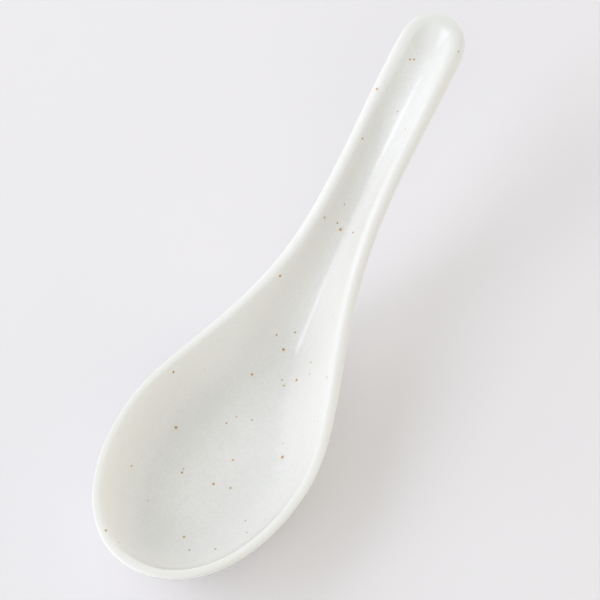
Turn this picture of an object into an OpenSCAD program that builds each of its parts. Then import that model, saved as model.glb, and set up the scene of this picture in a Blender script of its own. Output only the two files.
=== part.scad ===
// Chinese soup spoon: a moulded clay body under a fused glaze coat.
// The spoon lies along X, with its bowl's tip at -X and its handle rising to +X.
// It stands on the ground face of its oval foot ring, at z = 0, and the origin is
// halfway along the spoon on that plane.

/* [Length] */
// Length of the bowl, from its tip to the neck
bowl_l = 83.8; // [76:0.2:92]
// Length of the handle, from the neck to its end
grip_l = 56.4; // [48:0.2:66]
// Distance from the bowl's tip to its widest place
wide_l = 34.7; // [31:0.1:39]
// Length of the handle's rounded end
end_l = 10; // [8:0.5:12]

/* [Width] */
// Width of the bowl at its widest place
bowl_w = 44.2; // [38:0.1:50]
// Width of the neck, where the handle begins
neck_w = 18.2; // [16:0.1:21]
// Width of the handle at its narrowest place
grip_w = 14.7; // [12.8:0.1:16.4]
// Width of the handle where its end begins to round off
end_w = 15.6; // [13.5:0.1:18]

/* [Height] */
// Height of the lip at the bowl's tip
tip_h = 21.2; // [18:0.1:24]
// Height of the lip at its lowest, along the bowl's sides
side_h = 16.8; // [15.2:0.1:20]
// Height of the lip at the neck
neck_h = 23.6; // [21:0.1:27]
// Height of the lip at the handle's end
end_h = 46.7; // [38:0.1:54]
// How much the floor's bend up to the neck is rounded
bend_h = 1.5; // [0.8:0.1:2.4]
// Depth of the hollow under the lip at the neck
neck_d = 8.9; // [7:0.1:11]
// Depth of the hollow under the lip, halfway along the handle
grip_d = 4.4; // [3:0.2:6]
// Depth of the hollow under the lip, at the rounded end
end_d = 2.2; // [1.6:0.1:3]

/* [Wall] */
// Thickness of the clay at the bowl's floor
wall_t = 3.2; // [2.6:0.1:4]
// Thickness of the clay along the middle of the handle
grip_t = 3; // [2.4:0.1:4]
// Thickness of the clay at the bowl's rounded lip
lip_t = 1.5; // [1.2:0.1:2]
// Thickness of the clay at the lips along the handle
rim_t = 2.8; // [2.2:0.1:3.4]
// Thickness of the clay at the lip round the handle's end
end_t = 4.9; // [4:0.1:5.6]
// Thickness of the glaze
glaze_t = 0.3; // [0.2:0.05:0.4]

/* [Foot] */
// Distance from the bowl's tip to the middle of the foot ring
foot_x = 40; // [38:0.5:42]
// Length of the foot ring
foot_l = 44; // [38:0.5:48]
// Width of the foot ring
foot_w = 23; // [19:0.5:26]
// Width of the ring's ground face
face_w = 2; // [1.4:0.1:2.6]
// How far the ring stands below the bowl's underside
foot_h = 1.2; // [0.8:0.1:1.6]
// How far the ring's walls lean in on their way down
lean_l = 0.3; // [0.1:0.1:0.5]
// Height of bare clay between the ground face and the glaze
bare_h = 0.5; // [0.3:0.1:0.7]

/* [Hidden] */

spoon_l = bowl_l + grip_l;
grip_x = bowl_l + grip_l / 2;
end_x = spoon_l - end_l;
// Clay left under the foot's face, for the cut that grinds it flat
spare_l = bare_h / 2;
// Small step for measuring slopes
step_l = lip_t / 100;

// Roundness of the outline at the bowl's tip and at the handle's end
tip_power = 2.09;
end_power = 2.4;
// How late the wall turns up from the floor, in the bowl and in the handle
bowl_power = 4.9;
grip_power = 1.95;
// How much sooner than the lips the floor narrows towards the neck
narrow_power = 1.2;
// How straight the wall is above its turn, on the flank between bowl and neck
straight_share = 0.8;

// How far out on the lip its crest lies, as shares of half its thickness: in the
// bowl, along the handle and round its end
crest_shares = [0.55, 0.1, -0.45];

// Places along the bowl and the handle, as shares of their lengths
flank_shares = [1 / 3, 2 / 3];
quarter_shares = [0.25, 0.5, 0.75];
narrow_share = 0.43;
// Widths along the flank, as shares of the way from the neck's to the bowl's
flank_w_shares = [0.77, 0.345];
// Lip heights along the bowl, each as a share of the way from its lowest height
lip_front_shares = [0.48, 0.03];
lip_back_share = 0.09;
// Lip heights along the handle, as shares of the way from the neck to the end
lip_grip_shares = [0.305, 0.578, 0.843];
// Where the floor bends up towards the neck, as a share of the bowl's length
bend_share = 0.818;

// Rows of the grid from the middle to the lip, and from the lip to the foot
inner_shares = [0, 0.13, 0.26, 0.38, 0.5, 0.62, 0.73, 0.83, 0.92, 1];
outer_shares = [0, 0.1, 0.21, 0.33, 0.46, 0.6, 0.74, 0.87, 1];
lip_turns = [30, 60, 90, 120, 150];
well_shares = [1, 0.5, 0];

// Columns of the grid round the tip, along a side, and round the end
tip_steps = 12;
side_steps = 26;
end_steps = 7;
// How many of the side's columns run down to the foot ring
foot_steps = 10;

// Smooth curve through points [place, value], with a set slope at each end

function gap(points, i) = points[i + 1][0] - points[i][0];
function pitch(points, i) = (points[i + 1][1] - points[i][1]) / gap(points, i);

// Forward sweep for the slopes at the points: [share of the next slope, rest]
function sweep(points, first, i) =
    i == 0 ? [0, first] :
    let (
        before = gap(points, i - 1),
        after = gap(points, i),
        back = sweep(points, first, i - 1),
        pivot = 2 * (before + after) - after * back[0],
        pull = 3 * (after * pitch(points, i - 1) + before * pitch(points, i))
    )
    [before / pivot, (pull - after * back[1]) / pivot];

function slope_at(points, first, last, i) =
    i == len(points) - 1 ? last :
    let (part = sweep(points, first, i))
    part[1] - part[0] * slope_at(points, first, last, i + 1);

function slopes(points, first, last) =
    [for (i = [0:len(points) - 1]) i == 0 ? first : slope_at(points, first, last, i)];

function curve(points, slopes, x) =
    let (
        i = max([for (k = [0:len(points) - 2]) if (k == 0 || x >= points[k][0]) k]),
        l = gap(points, i),
        u = (x - points[i][0]) / l
    )
    points[i][1] * (1 + 2 * u) * pow(1 - u, 2) + points[i + 1][1] * (3 - 2 * u) * u * u
        + l * u * (1 - u) * (slopes[i] * (1 - u) - slopes[i + 1] * u);

// Half the spoon's width
side_points = [
    [wide_l, bowl_w / 2],
    for (i = [0:1])
        [wide_l + flank_shares[i] * (bowl_l - wide_l),
         (neck_w + flank_w_shares[i] * (bowl_w - neck_w)) / 2],
    [bowl_l, neck_w / 2],
    [bowl_l + narrow_share * grip_l, grip_w / 2],
    [end_x, end_w / 2]
];
side_slopes = slopes(side_points, 0, 0);
function side_at(x) = curve(side_points, side_slopes, min(max(x, wide_l), end_x));

// 1 where the spoon is as wide as the bowl, 0 where it is as narrow as the handle
function bowl_share(x) = max(0, (2 * side_at(x) - grip_w) / (bowl_w - grip_w));

// 0 halfway along the handle, 1 at its end
function end_share(x) =
    let (u = max((x - grip_x) / (spoon_l - grip_x), 0))
    u * u * (3 - 2 * u);

// A value along the lip, from one for the bowl, one for the handle and one for its end
function along_lip(values, x) =
    values[1] + bowl_share(x) * (values[0] - values[1]) + end_share(x) * (values[2] - values[1]);

// What the glazed lip adds around the middle of the wall
function lip_r(x) = along_lip([lip_t, rim_t, end_t], x) / 2 + glaze_t;
function half_at(x) = side_at(x) - lip_r(x);

// Height of the lip's top, and of the middle of the wall there
lip_points = [
    [0, tip_h],
    for (i = [0:1])
        [quarter_shares[i] * bowl_l, side_h + lip_front_shares[i] * (tip_h - side_h)],
    [quarter_shares[2] * bowl_l, side_h + lip_back_share * (neck_h - side_h)],
    [bowl_l, neck_h],
    for (i = [0:2])
        [bowl_l + quarter_shares[i] * grip_l,
         neck_h + lip_grip_shares[i] * (end_h - neck_h)],
    [spoon_l, end_h]
];
tip_fall = -(tip_h - side_h) / (bowl_l * quarter_shares[1]);
end_climb = (end_h - neck_h) / grip_l * quarter_shares[0];
lip_slopes = slopes(lip_points, tip_fall, end_climb);
function top_z(x) = curve(lip_points, lip_slopes, x);
function lip_z(x) = top_z(x) - lip_r(x);

// Height of the middle of the wall along the spoon's middle line: level under the
// bowl, then up a ramp through the neck and the handle
floor_h = foot_h + wall_t / 2;
function hollow_z(x, depth) = top_z(x) - depth - grip_t / 2 - glaze_t;
bend_x = bend_share * bowl_l;
ramp_points = [
    [bend_x, floor_h],
    [bowl_l, hollow_z(bowl_l, neck_d)],
    [grip_x, hollow_z(grip_x, grip_d)],
    [end_x, hollow_z(end_x, end_d)],
    [spoon_l, hollow_z(spoon_l, end_d)]
];
ramp_slopes = slopes(ramp_points, pitch(ramp_points, 0), end_climb);
function ramp_z(x) =
    x < bend_x ? floor_h + ramp_slopes[0] * (x - bend_x) : curve(ramp_points, ramp_slopes, x);
function floor_z(x) =
    let (climb = ramp_z(x) - floor_h)
    floor_h + (climb + sqrt(climb * climb + bend_h * bend_h)) / 2;

// Place across the hollow: 0 on the middle line, 1 at the middle of the lip

function round_off(u, v, power) = pow(pow(abs(u), power) + pow(abs(v), power), 1 / power);

function across(x, y) =
    x < wide_l ? round_off((wide_l - x) / (wide_l - lip_r(0)), y / half_at(wide_l), tip_power) :
    x > end_x ? round_off((x - end_x) / (end_l - lip_r(spoon_l)), y / half_at(end_x), end_power) :
    abs(y) / half_at(x);

// Share of the way from the floor up to the lip, at a place across the hollow
function rise(u, wide) =
    let (
        power = grip_power + (bowl_power - grip_power) * pow(wide, narrow_power),
        straight = straight_share * 4 * wide * (1 - wide)
    )
    pow(u, power) / (1 - straight + straight * pow(u, power - 1));

// Height of the middle of the wall above a place in plan
function wall_z(x, y) =
    floor_z(x) + (lip_z(x) - floor_z(x)) * rise(across(x, y), bowl_share(x));

// Half the clay's thickness there
function half_t(x, y) =
    let (
        floor_t = grip_t + (wall_t - grip_t) * bowl_share(x),
        edge_t = 2 * (lip_r(x) - glaze_t)
    )
    (floor_t + (edge_t - floor_t) * pow(min(across(x, y), 1), 2)) / 2;

function unit(v) = v / norm(v);

// Direction square to the wall, pointing up out of the hollow
function normal(x, y) =
    unit([
        (wall_z(x - step_l, y) - wall_z(x + step_l, y)) / (2 * step_l),
        (wall_z(x, y - step_l) - wall_z(x, y + step_l)) / (2 * step_l),
        1
    ]);

// Direction out over the lip, square to the wall's own direction
function outward(x, y) =
    let (
        out = [
            across(x + step_l, y) - across(x - step_l, y),
            across(x, y + step_l) - across(x, y - step_l),
            0
        ],
        up = normal(x, y)
    )
    unit(out - (out * up) * up);

// Point over a place in plan, on the inside (side 1) or the outside (side -1),
// with a coat of the given thickness
function wall_point(p, side, coat) =
    [p[0], p[1], wall_z(p[0], p[1])]
        + side * (half_t(p[0], p[1]) + coat) * normal(p[0], p[1]);

// Point on the round of the lip, a turn away from the inside
function lip_point(p, turn, coat) =
    let (
        r = lip_r(p[0]) - glaze_t + coat,
        crest = along_lip(crest_shares, p[0]),
        roll = turn < 90 ? 1 + crest : 1 - crest
    )
    [p[0], p[1], wall_z(p[0], p[1])]
        + r * (roll * cos(turn) - crest) * normal(p[0], p[1])
        + r * sin(turn) * outward(p[0], p[1]);

// Plan of the grid: one side's columns from the bowl's tip to the handle's end

last = tip_steps + side_steps + end_steps;
foot_last = tip_steps + foot_steps;
function side_x(i) = wide_l + (end_x - wide_l) * (i - tip_steps) / side_steps;
function quarter_turn(i, steps) = 90 * i / steps;

// Where each column meets the middle of the lip
lip_plan = [
    for (i = [0:last])
        i < tip_steps ?
            let (turn = quarter_turn(i, tip_steps))
            [wide_l - (wide_l - lip_r(0)) * pow(cos(turn), 2 / tip_power),
             half_at(wide_l) * pow(sin(turn), 2 / tip_power)] :
        i <= tip_steps + side_steps ? [side_x(i), half_at(side_x(i))] :
            let (turn = quarter_turn(last - i, end_steps))
            [end_x + (end_l - lip_r(spoon_l)) * pow(cos(turn), 2 / end_power),
             half_at(end_x) * pow(sin(turn), 2 / end_power)]
];

// Where each column meets the middle line
spine_plan = [for (p = lip_plan) [min(max(p[0], wide_l), end_x), 0]];

// Oval of the foot ring, drawn in by a length, at one of the first columns
foot_back = foot_x + foot_l / 2;
function oval(i, inset) =
    let (turn = 180 * i / foot_last)
    [foot_x - (foot_l / 2 - inset) * cos(turn),
     i == foot_last ? 0 : (foot_w / 2 - inset) * sin(turn)];

// Where each column's outside ends: on the foot ring, then along the underside
under_plan = [
    for (i = [0:last])
        i <= foot_last ? oval(i, 0) :
        let (
            from = lip_plan[foot_last][0],
            part = (min(lip_plan[i][0], end_x) - from) / (end_x - from)
        )
        [foot_back + part * (end_x - foot_back), 0]
];

// Rows of points, each running along one side from the bowl's tip

function mix(a, b, share) = a + share * (b - a);

function inner_rows(coat) =
    [for (share = inner_shares)
        [for (i = [0:last]) wall_point(mix(spine_plan[i], lip_plan[i], share), 1, coat)]];

function lip_rows(coat) =
    [for (turn = lip_turns) [for (p = lip_plan) lip_point(p, turn, coat)]];

function outer_rows(coat) =
    [for (share = outer_shares)
        [for (i = [0:last]) wall_point(mix(lip_plan[i], under_plan[i], share), -1, coat)]];

function wall_rows(coat) = concat(inner_rows(coat), lip_rows(coat), outer_rows(coat));

// A row round the foot: its own points, then the underside's last row
function foot_row(points) =
    [for (i = [0:last]) i <= foot_last ? points[i] : wall_point(under_plan[i], -1, 0)];

// Inset of the ring's face and of the well inside it
face_in = lean_l;
well_edge = lean_l + face_w;
well_in = well_edge + lean_l;

function flat(p, z) = [p[0], p[1], z];
face_row = [for (i = [0:foot_last]) flat(oval(i, face_in), -spare_l)];
well_edge_row = [for (i = [0:foot_last]) flat(oval(i, well_edge), -spare_l)];
function well_row(share, inset, coat) =
    [for (i = [0:foot_last])
        let (p = oval(i, inset)) wall_point([p[0], share * p[1]], -1, coat)];

// Points at a height on the straight wall between two rows
function wall_at(top, low, z) =
    [for (i = [0:len(low) - 1])
        mix(top[i], low[i], (top[i][2] - z) / (top[i][2] - low[i][2]))];

// Row pushed out from the foot's middle line, or in towards it
function push(row, length) =
    [for (i = [0:len(row) - 1])
        let (
            turn = 180 * i / foot_last,
            out = unit([-foot_w * cos(turn), i == foot_last ? 0 : foot_l * sin(turn), 0])
        )
        row[i] + length * out];

// Closed skin over rows of points and their mirror image. The diagonals turn over
// at row fold, so that two skins over the same points have the same facets.
module skin(rows, fold) {
    width = len(rows[0]);
    ring = 2 * width - 2;
    points = [
        for (row = rows) each concat(
            row,
            [for (i = [width - 2:-1:1]) [row[i][0], -row[i][1], row[i][2]]]
        )
    ];
    function at(k, i) = k * ring + i % ring;
    quads = [
        for (k = [0:len(rows) - 2], i = [0:ring - 1])
            let (a = at(k, i), b = at(k, i + 1), c = at(k + 1, i + 1), d = at(k + 1, i))
            each (i < width - 1) == (k < fold) ? [[a, c, b], [a, d, c]] : [[a, d, b], [b, d, c]]
    ];
    polyhedron(points, [for (face = quads) if (spans(points, face)) face]);
}

// Whether a triangle has three corners apart and doesn't lie in the plane of symmetry
function spans(points, face) =
    let (a = points[face[0]], b = points[face[1]], c = points[face[2]])
    a != b && b != c && c != a && (a[1] != 0 || b[1] != 0 || c[1] != 0);

// Everything is drawn from the bowl's tip, and then centred
module centred() {
    translate([-spoon_l / 2, 0, 0]) children();
}

// Fired clay: bowl, neck, handle and foot ring in one
module clay_body() {
    rows = concat(
        wall_rows(0),
        [
            foot_row(face_row),
            foot_row(well_edge_row),
            for (share = well_shares) foot_row(well_row(share, well_in, 0))
        ]
    );
    color([0.91, 0.88, 0.83])
    centred()
    difference() {
        skin(rows, len(rows));
        translate([0, -bowl_w / 2, -foot_h])
            cube([spoon_l, bowl_w, foot_h]);
    }
}

// Glaze over the inside, the lip and the outside, ending on the foot's outer wall
module glaze_coat() {
    clay = wall_rows(0);
    coat = wall_rows(glaze_t);
    top = clay[len(clay) - 1];
    edge = wall_at(top, face_row, bare_h);
    corner = push([for (i = [0:foot_last]) coat[len(coat) - 1][i]], glaze_t);
    rows = concat(
        [for (k = [0:len(coat) - 2]) coat[k]],
        [
            [for (i = [0:last]) i <= foot_last ? corner[i] : coat[len(coat) - 1][i]],
            [for (i = [0:last]) i <= foot_last ? push(edge, glaze_t)[i] : coat[len(coat) - 1][i]],
            foot_row(edge)
        ],
        [for (k = [len(clay) - 1:-1:0]) clay[k]]
    );
    color([0.84, 0.88, 0.85])
    centred()
    skin(rows, len(coat) + 1);
}

// Pool of glaze inside the foot ring
module foot_glaze() {
    edge = wall_at(well_row(1, well_in, 0), well_edge_row, bare_h);
    rows = concat(
        [for (k = [len(well_shares) - 1:-1:0]) well_row(well_shares[k], well_in, 0)],
        [edge, push(edge, -glaze_t)],
        [for (share = well_shares) well_row(share, well_in + glaze_t, glaze_t)]
    );
    color([0.8, 0.86, 0.82])
    centred()
    skin(rows, 0);
}

clay_body();
glaze_coat();
foot_glaze();
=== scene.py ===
from math import cos, pi, radians, sin

import bmesh
import bpy
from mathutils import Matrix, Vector
from mathutils.bvhtree import BVHTree


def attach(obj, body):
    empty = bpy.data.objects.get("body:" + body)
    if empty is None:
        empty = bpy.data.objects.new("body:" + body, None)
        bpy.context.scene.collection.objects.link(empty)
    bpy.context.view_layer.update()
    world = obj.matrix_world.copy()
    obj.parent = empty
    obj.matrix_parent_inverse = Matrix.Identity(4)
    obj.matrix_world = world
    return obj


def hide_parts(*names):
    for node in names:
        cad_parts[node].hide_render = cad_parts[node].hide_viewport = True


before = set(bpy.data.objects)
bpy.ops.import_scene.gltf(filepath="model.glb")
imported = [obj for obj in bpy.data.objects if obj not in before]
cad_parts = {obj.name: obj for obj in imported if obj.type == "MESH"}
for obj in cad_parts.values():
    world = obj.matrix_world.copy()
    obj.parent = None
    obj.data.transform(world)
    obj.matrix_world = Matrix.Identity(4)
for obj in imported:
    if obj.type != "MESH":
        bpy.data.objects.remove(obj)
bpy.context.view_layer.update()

scene = bpy.context.scene
scene.view_settings.view_transform = "Standard"

# The photograph's frame, in pixels
FRAME_PX = 600

# Lengths are in metres, apart from those that say mm.
MM = 0.001


# Camera: the photograph's place, found from the spoon's outline

CAMERA_HEIGHT_ANGLE = radians(60)
SPOON_TURN = radians(28.603)
CAMERA_AWAY = 600 * MM
CAMERA_NEAREST = 50 * MM
AIM = Vector((0, 0, 20 * MM))
AIM_PX = (296.262, 312.388)
PX_PER_MM = 4.594

# The sensor's width in mm, as Blender takes it
SENSOR = 36


def camera_looks():
    flat = cos(CAMERA_HEIGHT_ANGLE)
    return Vector((cos(SPOON_TURN) * flat, sin(SPOON_TURN) * flat, -sin(CAMERA_HEIGHT_ANGLE)))


def make_camera():
    lens = bpy.data.cameras.new("camera")
    lens.sensor_width = SENSOR
    lens.lens = SENSOR * PX_PER_MM * CAMERA_AWAY / MM / FRAME_PX
    lens.shift_x = (FRAME_PX / 2 - AIM_PX[0]) / FRAME_PX
    lens.shift_y = (AIM_PX[1] - FRAME_PX / 2) / FRAME_PX
    lens.clip_start = CAMERA_NEAREST
    camera = bpy.data.objects.new("camera", lens)
    camera.location = AIM - camera_looks() * CAMERA_AWAY
    camera.rotation_mode = "QUATERNION"
    camera.rotation_quaternion = camera_looks().to_track_quat("-Z", "Y")
    scene.collection.objects.link(camera)
    scene.camera = camera
    bpy.context.view_layer.update()
    return camera


# Shader nodes, written as sums

# Where a Mix node's colours go in and come out
MIX_SHARE, MIX_FIRST, MIX_SECOND, MIX_RESULT = 0, 6, 7, 2

# How many layers a noise has
SOFT, FINE = 2, 3
NOISE_MEAN = 0.5


class Wire:
    """One output of a node. Sums on it add Math nodes."""

    def __init__(self, finish, socket):
        self.finish, self.socket = finish, socket

    def maths(self, operation, first, second):
        return self.finish.node("ShaderNodeMath", {"operation": operation}, {0: first, 1: second})

    def __add__(self, other):
        return self.maths("ADD", self, other)

    __radd__ = __add__

    def __sub__(self, other):
        return self.maths("SUBTRACT", self, other)

    def __rsub__(self, other):
        return self.maths("SUBTRACT", other, self)

    def __mul__(self, other):
        return self.maths("MULTIPLY", self, other)

    __rmul__ = __mul__

    def least(self, other):
        return self.maths("MINIMUM", self, other)

    def most(self, other):
        return self.maths("MAXIMUM", self, other)


class Finish:
    """A material with one Principled shader."""

    def __init__(self, name):
        self.material = bpy.data.materials.new(name)
        self.material.use_nodes = True
        self.tree = self.material.node_tree
        self.shader = self.tree.nodes["Principled BSDF"]
        self.place = self.node("ShaderNodeTexCoord", out="Object")

    def node(self, kind, settings=None, sockets=None, out=0):
        made = self.tree.nodes.new(kind)
        for name, value in (settings or {}).items():
            setattr(made, name, value)
        for key, value in (sockets or {}).items():
            self.feed(made.inputs[key], value)
        return Wire(self, made.outputs[out])

    def feed(self, socket, value):
        if isinstance(value, Wire):
            self.tree.links.new(value.socket, socket)
        else:
            socket.default_value = value

    def between(self, value, low, high):
        """0 where value is at low, 1 where it is at high, and smooth between."""
        return self.node("ShaderNodeMapRange", {"interpolation_type": "SMOOTHSTEP"},
                         {"Value": value, "From Min": low, "From Max": high})

    def blend(self, share, first, second):
        """The first colour where share is 0, and the second where it is 1."""
        sockets = {MIX_SHARE: share, MIX_FIRST: first, MIX_SECOND: second}
        return self.node("ShaderNodeMix", {"data_type": "RGBA"}, sockets, out=MIX_RESULT)

    def grain(self, size, detail=SOFT, out=0):
        """Noise from 0 to 1, with features of about the given size in mm."""
        sockets = {"Vector": self.place, "Scale": 1 / (size * MM), "Detail": detail}
        return self.node("ShaderNodeTexNoise", {}, sockets, out=out)

    def patches(self, size, low, high, share):
        """Noise that is 0 where it would be under low, and share where it would be over high."""
        return self.between(self.grain(size, FINE), low, high) * share

    def uneven(self, least, swing, size):
        """A value that goes from least to swing above it, in features of about the given size in mm."""
        return least + swing * self.grain(size)

    def mark(self, name):
        """A number that the mesh holds for each of its points."""
        return self.node("ShaderNodeAttribute", {"attribute_name": name}, out="Fac")

    def ripple(self, height, depth):
        """A bump of the given depth in mm."""
        self.set(Normal=self.node("ShaderNodeBump", {}, {"Height": height, "Distance": depth * MM}))

    def nearest(self, spots):
        """How far the nearest spot's middle is, in that spot's radii. Each is a place and a radius in mm."""
        ragged = self.vectors("SUBTRACT", self.grain(SPECK_WOBBLE_SIZE, out="Color"), (NOISE_MEAN,) * 3)
        place = self.vectors("MULTIPLY_ADD", ragged, (SPECK_WOBBLE * MM,) * 3, self.place)
        nearest = None
        for middle, radius in spots:
            away = self.vectors("DISTANCE", place, middle, out="Value") * (1 / (radius * MM))
            nearest = away if nearest is None else nearest.least(away)
        return nearest

    def vectors(self, operation, *values, out=0):
        return self.node("ShaderNodeVectorMath", {"operation": operation}, dict(enumerate(values)), out=out)

    def set(self, **values):
        for name, value in values.items():
            self.feed(self.shader.inputs[name.replace("_", " ")], value)


def tint(red, green, blue):
    """A colour as read off a screen, 0 to 255, as a shader takes it. The numbers are the sRGB curve's."""
    def level(v):
        v /= 255
        return v / 12.92 if v <= 0.04045 else ((v + 0.055) / 1.055) ** 2.4
    return (level(red), level(green), level(blue), 1)


# Pieces

# How many times a point's bend is evened out with its neighbours'
BEND_SMOOTHING = 3

# Points nearer than this are one point, and triangles that agree within these angles join to a quad.
MERGE_WITHIN = 0.001 * MM
QUAD_BEND = radians(50)
QUAD_SKEW = radians(60)

SUBDIVISIONS = 2

# Without this, low light breaks into teeth along the lip.
SOFT_SHADE_EDGE = 0.015


def mark_form(form):
    """Gives each point its bend in 1/mm, above 0 on a ridge, and how squarely it faces up."""
    form.normal_update()
    bend = form.verts.layers.float.new("bend")
    faces_up = form.verts.layers.float.new("faces_up")
    # The bend is the turn at each edge times its length, over four times the point's third of its triangles.
    for vert in form.verts:
        turned = sum(edge.calc_face_angle_signed(0) * edge.calc_length() for edge in vert.link_edges)
        shared = sum(face.calc_area() for face in vert.link_faces) / 3
        vert[bend] = turned / (4 * shared) * MM
        vert[faces_up] = vert.normal.z
    for _ in range(BEND_SMOOTHING):
        around = [sum(edge.other_vert(vert)[bend] for edge in vert.link_edges) / len(vert.link_edges)
                  for vert in form.verts]
        for vert, value in zip(form.verts, around):
            vert[bend] = (vert[bend] + value) / 2


def shell_of(node, name):
    """A smooth piece in place of a CAD node, from its mesh joined back to quads."""
    mesh = bpy.data.meshes.new(name)
    form = bmesh.new()
    form.from_mesh(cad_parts[node].data)
    bmesh.ops.remove_doubles(form, verts=form.verts, dist=MERGE_WITHIN)
    mark_form(form)
    bmesh.ops.join_triangles(form, faces=form.faces, angle_face_threshold=QUAD_BEND,
                             angle_shape_threshold=QUAD_SKEW)
    for face in form.faces:
        face.smooth = True
    form.to_mesh(mesh)
    form.free()
    piece = bpy.data.objects.new(name, mesh)
    scene.collection.objects.link(piece)
    smooth = piece.modifiers.new("smooth", "SUBSURF")
    smooth.levels = smooth.render_levels = SUBDIVISIONS
    piece.shadow_terminator_shading_offset = SOFT_SHADE_EDGE
    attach(piece, "root")
    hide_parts(node)
    return piece


TABLE_HALF = 3

# The table's face lies a hair under the foot's, so that the two don't coincide.
TABLE_DROP = 0.02 * MM


def make_floor():
    mesh = bpy.data.meshes.new("table_top")
    form = bmesh.new()
    bmesh.ops.create_grid(form, x_segments=1, y_segments=1, size=TABLE_HALF)
    bmesh.ops.translate(form, vec=(0, 0, -TABLE_DROP), verts=form.verts)
    form.to_mesh(mesh)
    form.free()
    floor = bpy.data.objects.new("table_top", mesh)
    scene.collection.objects.link(floor)
    return floor


# Iron specks in the glaze

# Places are the photograph's pixels, and radii are in mm.
DARK_SPECKS = [
    (280, 276, 0.15), (173.5, 372, 0.16), (176, 427.5, 0.17), (283.5, 349.5, 0.16), (252, 374.5, 0.14),
    (182, 472.5, 0.13), (213.5, 484, 0.14), (106, 530.5, 0.14), (337.5, 223, 0.12), (410, 59.5, 0.11),
    (226.5, 423, 0.10),
]
RUST_SPECKS = [
    (296.5, 380, 0.20), (282.5, 457, 0.19), (324.5, 217.5, 0.14), (340.5, 229.5, 0.18), (353, 232.5, 0.14),
    (377, 89, 0.14), (131.5, 466, 0.13), (311, 362.5, 0.12), (309.5, 374, 0.11), (233, 460, 0.12),
    (189.5, 550, 0.12), (215.5, 549, 0.13), (414, 59.5, 0.12), (252, 420, 0.11), (282, 380, 0.10),
    (118.5, 542.5, 0.13),
]
OLIVE_SPECKS = [
    (276.5, 335, 0.16), (295, 332.5, 0.15), (362.5, 138.5, 0.16), (344.5, 204.5, 0.12), (284, 385.5, 0.17),
    (327, 377, 0.13), (236.5, 417, 0.11), (183.5, 469, 0.12), (230.5, 488, 0.18), (148, 500.5, 0.09),
    (184, 537, 0.20), (245.5, 520.5, 0.12), (247, 532.5, 0.15), (265.5, 520, 0.14), (397.5, 111.5, 0.10),
    (405.5, 129, 0.09), (458.5, 51.5, 0.12), (333, 316, 0.10),
]
PALE_SPECKS = [
    (283, 443.5, 0.26), (108.5, 515, 0.30), (142, 457.5, 0.22), (136, 451, 0.20), (122.5, 450, 0.20),
    (205, 369, 0.24), (326.5, 412.5, 0.22), (306.5, 409, 0.20), (305, 442, 0.18), (314, 421, 0.26),
    (203, 339, 0.24), (180, 384, 0.24), (270, 410, 0.18),
]

# How far a speck's edge strays, and about how often, in mm
SPECK_WOBBLE = 0.12
SPECK_WOBBLE_SIZE = 0.2


def seen_at(camera, shape, column, row):
    """The point of a shape that the camera sees at a pixel."""
    lens = camera.data
    across = ((column - FRAME_PX / 2) / FRAME_PX + lens.shift_x) * SENSOR / lens.lens
    up = ((FRAME_PX / 2 - row) / FRAME_PX + lens.shift_y) * SENSOR / lens.lens
    return shape.ray_cast(camera.location, camera.rotation_quaternion @ Vector((across, up, -1)))[0]


def place_specks(camera, piece):
    """Each kind's colour and stain, with its specks' places on the piece."""
    shape = BVHTree.FromObject(piece, bpy.context.evaluated_depsgraph_get())
    return [(tone, stain, [(seen_at(camera, shape, column, row), radius) for column, row, radius in specks])
            for tone, stain, specks in SPECK_KINDS]


# Finishes

# The glaze is warm on steep walls, paler on the floor, and greenest in its mottle and where it pooled. The
# handle's closed end also carries painted shade in that green.
LIP = tint(237, 238, 234)
WALL = tint(236, 234, 229)
OUTSIDE = tint(241, 240, 237)
POOL = tint(241, 241, 240)
DEEP = tint(230, 232, 228)
DARK = tint(26, 18, 12)
RUST = tint(150, 66, 40)
OLIVE = tint(152, 142, 84)
OCHRE = tint(222, 186, 118)
PALE = tint(232, 225, 203)
CLAY = tint(228, 222, 211)
CLAY_GRIT = tint(204, 193, 176)
TABLE = tint(235, 233, 235)
TABLE_CLOUD = tint(233, 231, 234)

# Each kind's colour, how strongly it stains the glaze round it, and its specks
SPECK_KINDS = [
    (PALE, 0, PALE_SPECKS),
    (OLIVE, 0.3, OLIVE_SPECKS),
    (RUST, 0.65, RUST_SPECKS),
    (DARK, 0.75, DARK_SPECKS),
]

# How far from a speck's middle its stain and its core begin and are full, in the speck's radii
STAIN_REACH = (3.8, 0.8)
CORE_REACH = (1.3, 0.7)

# How far apart stray specks lie, and how far from its middle one begins and is full, in mm
STRAY_GAP = 7
STRAY_REACH = (0.38, 0.12)

# How much of a stray speck's colour shows, and where its random number turns it from olive to rust
STRAY_SHARE = 0.8
STRAY_OLIVE_TO_RUST = (0.3, 0.5)

# Bends in 1/mm at which the lip, and the turn from wall to floor, begin and are full
LIP_BENDS = (0.06, 0.4)
TURN_BENDS = (-0.02, -0.08)

# How squarely a face looks up where the floor, and the outside, begin and are full
FLOOR_FACES_UP = (0.35, 0.97)
OUTSIDE_FACES_UP = (0.1, -0.15)

# The handle's closed end holds a pool of deeper glaze colour, which also paints shade on its end wall. It
# begins and is full at these places along the spoon.
END_POOL_AND_SHADE = (57 * MM, 67 * MM)

# How deep the glaze is in the turn, and how much of the lip's colour and of the end's pool and painted shade
# shows
TURN_DEPTH = 0.7
LIP_SHARE = 0.6
END_POOL_AND_SHADE_SHARE = 0.8

# How much more matt the lip is
LIP_MATTNESS = 0.25


def celadon(finish, depth):
    """The glaze's colour, before its specks, where depth is 0 on a thin coat and 1 in a pool."""
    colour = finish.blend(depth, WALL, POOL)
    colour = finish.blend(finish.patches(size=7, low=0.35, high=0.75, share=0.35) * depth, colour, DEEP)
    return finish.blend(finish.patches(size=0.55, low=0.42, high=0.72, share=0.56), colour, DEEP)


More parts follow.
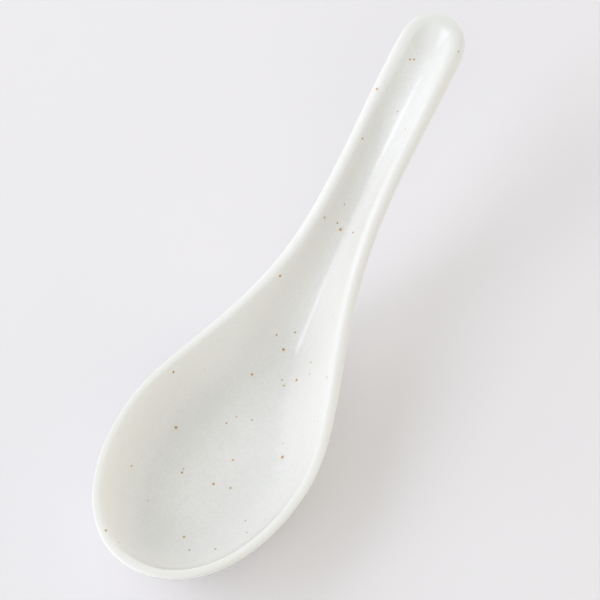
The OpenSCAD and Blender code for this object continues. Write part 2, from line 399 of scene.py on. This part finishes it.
def add_specks(finish, colour, kinds):
    """Each speck is a small core in a wider ochre stain."""
    for tone, stain, spots in kinds:
        away = finish.nearest(spots)
        colour = finish.blend(finish.between(away, *STAIN_REACH) * stain, colour, OCHRE)
        colour = finish.blend(finish.between(away, *CORE_REACH), colour, tone)
    return colour


def stray_specks(finish, colour, where):
    """Sparse specks on the faces that the photograph doesn't show."""
    voronoi = {"Vector": finish.place, "Scale": 1 / (STRAY_GAP * MM)}
    away = finish.node("ShaderNodeTexVoronoi", {}, voronoi, out="Distance") * STRAY_GAP
    kind = finish.node("ShaderNodeTexVoronoi", {}, voronoi, out="Color")
    tone = finish.blend(finish.between(kind, *STRAY_OLIVE_TO_RUST), OLIVE, RUST)
    return finish.blend(finish.between(away, *STRAY_REACH) * where * STRAY_SHARE, colour, tone)


def glaze_finish(kinds):
    finish = Finish("celadon_glaze")
    bend = finish.mark("bend")
    faces_up = finish.mark("faces_up")
    lip = finish.between(bend, *LIP_BENDS)
    turn = finish.between(bend, *TURN_BENDS)
    depth = finish.between(faces_up, *FLOOR_FACES_UP).most(turn * TURN_DEPTH) * (1 - lip)
    outside = finish.between(faces_up, *OUTSIDE_FACES_UP)
    along = finish.node("ShaderNodeSeparateXYZ", {}, {0: finish.place}, out="X")
    colour = celadon(finish, depth)
    colour = finish.blend(outside, colour, OUTSIDE)
    colour = finish.blend(lip * LIP_SHARE, colour, LIP)
    # Painted shade on the handle's closed end, mixed with its pooled glaze, in the deep colour
    colour = finish.blend(finish.between(along, *END_POOL_AND_SHADE) * END_POOL_AND_SHADE_SHARE, colour, DEEP)
    colour = add_specks(finish, colour, kinds)
    colour = stray_specks(finish, colour, outside)
    roughness = finish.uneven(least=0.13, swing=0.08, size=3) + LIP_MATTNESS * lip
    finish.set(Base_Color=colour, Roughness=roughness)
    finish.ripple(finish.grain(size=2.2), depth=0.02)
    return finish.material


# The clouds in the foot's pool: their size in mm, and how much of their colour shows
FOOT_CLOUD_SIZE = 5
FOOT_CLOUD_SHARE = 0.6


def pool_finish():
    finish = Finish("pooled_celadon")
    colour = finish.blend(finish.grain(FOOT_CLOUD_SIZE, FINE) * FOOT_CLOUD_SHARE, POOL, DEEP)
    colour = finish.blend(finish.patches(size=0.8, low=0.5, high=0.8, share=0.5), colour, DEEP)
    roughness = finish.uneven(least=0.24, swing=0.06, size=3)
    finish.set(Base_Color=stray_specks(finish, colour, 1), Roughness=roughness)
    finish.ripple(finish.grain(size=2.5), depth=0.03)
    return finish.material


# The clay's grit: its size in mm, the noise at which its colour begins and is full, and how much of it shows
GRIT_SIZE = 0.35
GRIT_LEVELS = (0.3, 0.75)
GRIT_SHARE = 0.5

# The smoothest clay's roughness, and how much the grit adds
CLAY_ROUGHNESS = 0.75
GRIT_ROUGHNESS = 0.15


def clay_finish():
    finish = Finish("fired_clay")
    grit = finish.grain(GRIT_SIZE, FINE)
    colour = finish.blend(finish.between(grit, *GRIT_LEVELS) * GRIT_SHARE, CLAY, CLAY_GRIT)
    roughness = CLAY_ROUGHNESS + GRIT_ROUGHNESS * grit
    finish.set(Base_Color=stray_specks(finish, colour, 1), Roughness=roughness)
    finish.ripple(grit, depth=0.05)
    return finish.material


# Sizes in mm
TABLE_CLOUD_SIZE = 60
TABLE_GRAIN_SIZE = 1.5

TABLE_ROUGHNESS = 0.7


def table_finish():
    finish = Finish("white_table")
    colour = finish.blend(finish.grain(TABLE_CLOUD_SIZE, FINE), TABLE, TABLE_CLOUD)
    finish.set(Base_Color=colour, Roughness=TABLE_ROUGHNESS)
    finish.ripple(finish.grain(TABLE_GRAIN_SIZE, FINE), depth=0.02)
    return finish.material


# Light

# Each lamp is a soft panel that faces the spoon. Its turn is counted in the picture, from the right over the
# top to the left, and its height is the angle above the table. Its size is the panel's width and height, and
# its level is how much light it throws on a face turned to it.
LAMP_AWAY = 1.2
WINDOW_COLOUR = (0.955, 1.0, 1.13)
ROOM_COLOUR = (1.015, 1.0, 0.94)
LAMPS = {
    "window_low": {"turn": 212, "height": 15, "size": (0.6, 0.5), "level": 0.92, "colour": WINDOW_COLOUR},
    "window_high": {"turn": 187, "height": 40, "size": (0.65, 0.65), "level": 0.75, "colour": WINDOW_COLOUR},
    "back": {"turn": 110, "height": 26, "size": (1.2, 0.8), "level": 0.92, "colour": WINDOW_COLOUR},
    "back_right": {"turn": 65, "height": 20, "size": (1.2, 0.8), "level": 0.42, "colour": ROOM_COLOUR},
    "right": {"turn": 3, "height": 13, "size": (1.0, 0.5), "level": 0.78, "colour": ROOM_COLOUR},
    "front": {"turn": 270, "height": 45, "size": (1.0, 1.0), "level": 0.42, "colour": ROOM_COLOUR},
}

# These lamps light the spoon, but don't show in its gloss.
MATT_LAMPS = ("back", "back_right", "right", "front")

ROOM_LEVEL = 0.55


def make_world():
    world = bpy.data.worlds.new("room")
    world.use_nodes = True
    scene.world = world
    sky = world.node_tree.nodes["Background"]
    sky.inputs["Color"].default_value = (*ROOM_COLOUR, 1)
    sky.inputs["Strength"].default_value = ROOM_LEVEL


def make_lamp(name, turn, height, size, level, colour):
    light = bpy.data.lights.new(name, "AREA")
    light.shape = "RECTANGLE"
    light.size, light.size_y = size
    light.energy = level * pi * LAMP_AWAY ** 2
    light.color = colour
    right = Vector((sin(SPOON_TURN), -cos(SPOON_TURN), 0))
    up = Vector((cos(SPOON_TURN), sin(SPOON_TURN), 0))
    flat = right * cos(radians(turn)) + up * sin(radians(turn))
    place = flat * cos(radians(height)) + Vector((0, 0, sin(radians(height))))
    lamp = bpy.data.objects.new(name, light)
    lamp.location = place * LAMP_AWAY
    lamp.rotation_mode = "QUATERNION"
    lamp.rotation_quaternion = (-place).to_track_quat("-Z", "Y")
    lamp.visible_glossy = name not in MATT_LAMPS
    scene.collection.objects.link(lamp)


camera = make_camera()
floor = make_floor()
glaze = shell_of("glaze_coat", "glaze")
pool = shell_of("foot_glaze", "foot_pool")
kinds = place_specks(camera, glaze)
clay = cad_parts["clay_body"]
clay.data.materials.clear()
for piece, material in ((glaze, glaze_finish(kinds)), (pool, pool_finish()), (clay, clay_finish()),
                        (floor, table_finish())):
    piece.data.materials.append(material)
make_world()
for name, lamp in LAMPS.items():
    make_lamp(name, **lamp)
